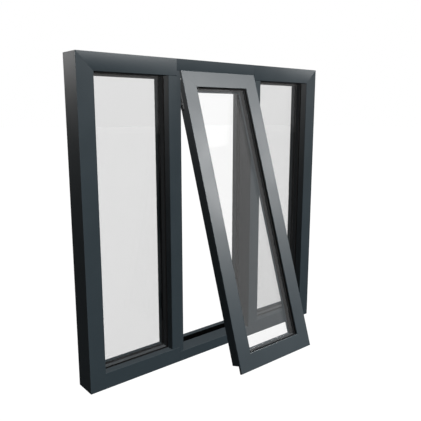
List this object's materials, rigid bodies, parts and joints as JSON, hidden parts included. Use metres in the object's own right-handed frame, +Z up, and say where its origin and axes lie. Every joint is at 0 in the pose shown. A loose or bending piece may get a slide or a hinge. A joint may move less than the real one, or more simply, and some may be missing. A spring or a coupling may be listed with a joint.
{
  "type": "casement window with a crank-operated top-hung sash",
  "caption": "Square window in dark grey aluminium: fixed lights either side of a top-hung sash that a room-side crank swings outwards on side stays",
  "frame": {"origin": "centre of the underside of the sill, halfway between the outer and the room-side face", "axes": "+Z up, +X to the right seen from outdoors, +Y towards the room"},
  "size_m": [1, 0.4477, 1],
  "materials": {
    "powder_coat": "extruded aluminium with a satin dark grey powder coat",
    "glass": "clear float glass, sealed double unit",
    "rubber": "matt black extruded rubber",
    "spacer_bar": "grey spacer bar with edge sealant",
    "black_steel": "steel strip with a black finish",
    "cast_metal": "cast metal painted to match the frame",
    "steel": "plain turned steel",
    "knob_plastic": "black moulded plastic"
  },
  "bodies": {
    "frame": {"jamb_left": "powder_coat", "jamb_right": "powder_coat", "head_left": "powder_coat", "head_centre": "powder_coat", "head_right": "powder_coat", "sill_left": "powder_coat", "sill_centre": "powder_coat", "sill_right": "powder_coat", "mullion_left": "powder_coat", "mullion_right": "powder_coat", "centre_seal": "rubber", "left_light_outer_pane": "glass", "left_light_inner_pane": "glass", "left_light_spacer": "spacer_bar", "left_light_outer_gasket": "rubber", "left_light_inner_gasket": "rubber", "left_light_bead_left": "powder_coat", "left_light_bead_right": "powder_coat", "left_light_bead_top": "powder_coat", "left_light_bead_bottom": "powder_coat", "right_light_outer_pane": "glass", "right_light_inner_pane": "glass", "right_light_spacer": "spacer_bar", "right_light_outer_gasket": "rubber", "right_light_inner_gasket": "rubber", "right_light_bead_left": "powder_coat", "right_light_bead_right": "powder_coat", "right_light_bead_top": "powder_coat", "right_light_bead_bottom": "powder_coat", "stay_track_left": "black_steel", "stay_track_right": "black_steel", "operator_housing": "cast_metal", "operator_cover": "cast_metal", "cover_screw_bottom": "steel", "cover_screw_top": "steel"},
    "carriage": {"stay_shoe_left": "steel", "stay_shoe_right": "steel"},
    "sash": {"sash_stile_left": "powder_coat", "sash_stile_right": "powder_coat", "sash_top_rail": "powder_coat", "sash_bottom_rail": "powder_coat", "sash_outer_pane": "glass", "sash_inner_pane": "glass", "sash_spacer": "spacer_bar", "sash_outer_gasket": "rubber", "sash_inner_gasket": "rubber", "sash_bead_left": "powder_coat", "sash_bead_right": "powder_coat", "sash_bead_top": "powder_coat", "sash_bead_bottom": "powder_coat", "sash_plate_left": "black_steel", "sash_plate_right": "black_steel"},
    "stay_arms": {"stay_arm_left": "black_steel", "stay_arm_right": "black_steel", "worm_wheel": "steel"},
    "crank": {"worm_shaft": "steel", "crank_arm": "cast_metal", "knob_pin": "steel"},
    "knob": {"crank_knob": "knob_plastic"}
  },
  "joints": [
    {"name": "shoe_slide", "type": "slide", "parent": "frame", "child": "carriage", "axis": [0, -0.315, -0.9491], "range_m": [-0.02014, 0.0045]},
    {"name": "sash_hinge", "type": "hinge", "parent": "carriage", "child": "sash", "pos_m": [0, -0.00484, 0.93789], "axis": [-1, 0, 0], "range_deg": [-17.94, 4]},
    {"name": "stay_arm_hinge", "type": "hinge", "parent": "frame", "child": "stay_arms", "pos_m": [0, 0.0015, 0.83785], "axis": [1, 0, 0], "range_deg": [-52.33, 11.67]},
    {"name": "crank_turn", "type": "hinge", "parent": "frame", "child": "crank", "pos_m": [-0.16677, 0.06, 0.85815], "axis": [0, 1, 0], "range_deg": [-1570, 350.1]},
    {"name": "knob_spin", "type": "hinge", "parent": "crank", "child": "knob", "pos_m": [-0.1368, 0.095, 0.78398], "axis": [0, 1, 0], "continuous": true}
  ],
  "couplings": [
    {"joint": "shoe_slide", "follows": "sash_hinge", "m_per_rad": 0.064306},
    {"joint": "stay_arm_hinge", "follows": "sash_hinge", "ratio": 2.9167},
    {"joint": "crank_turn", "follows": "sash_hinge", "ratio": 87.5}
  ]
}
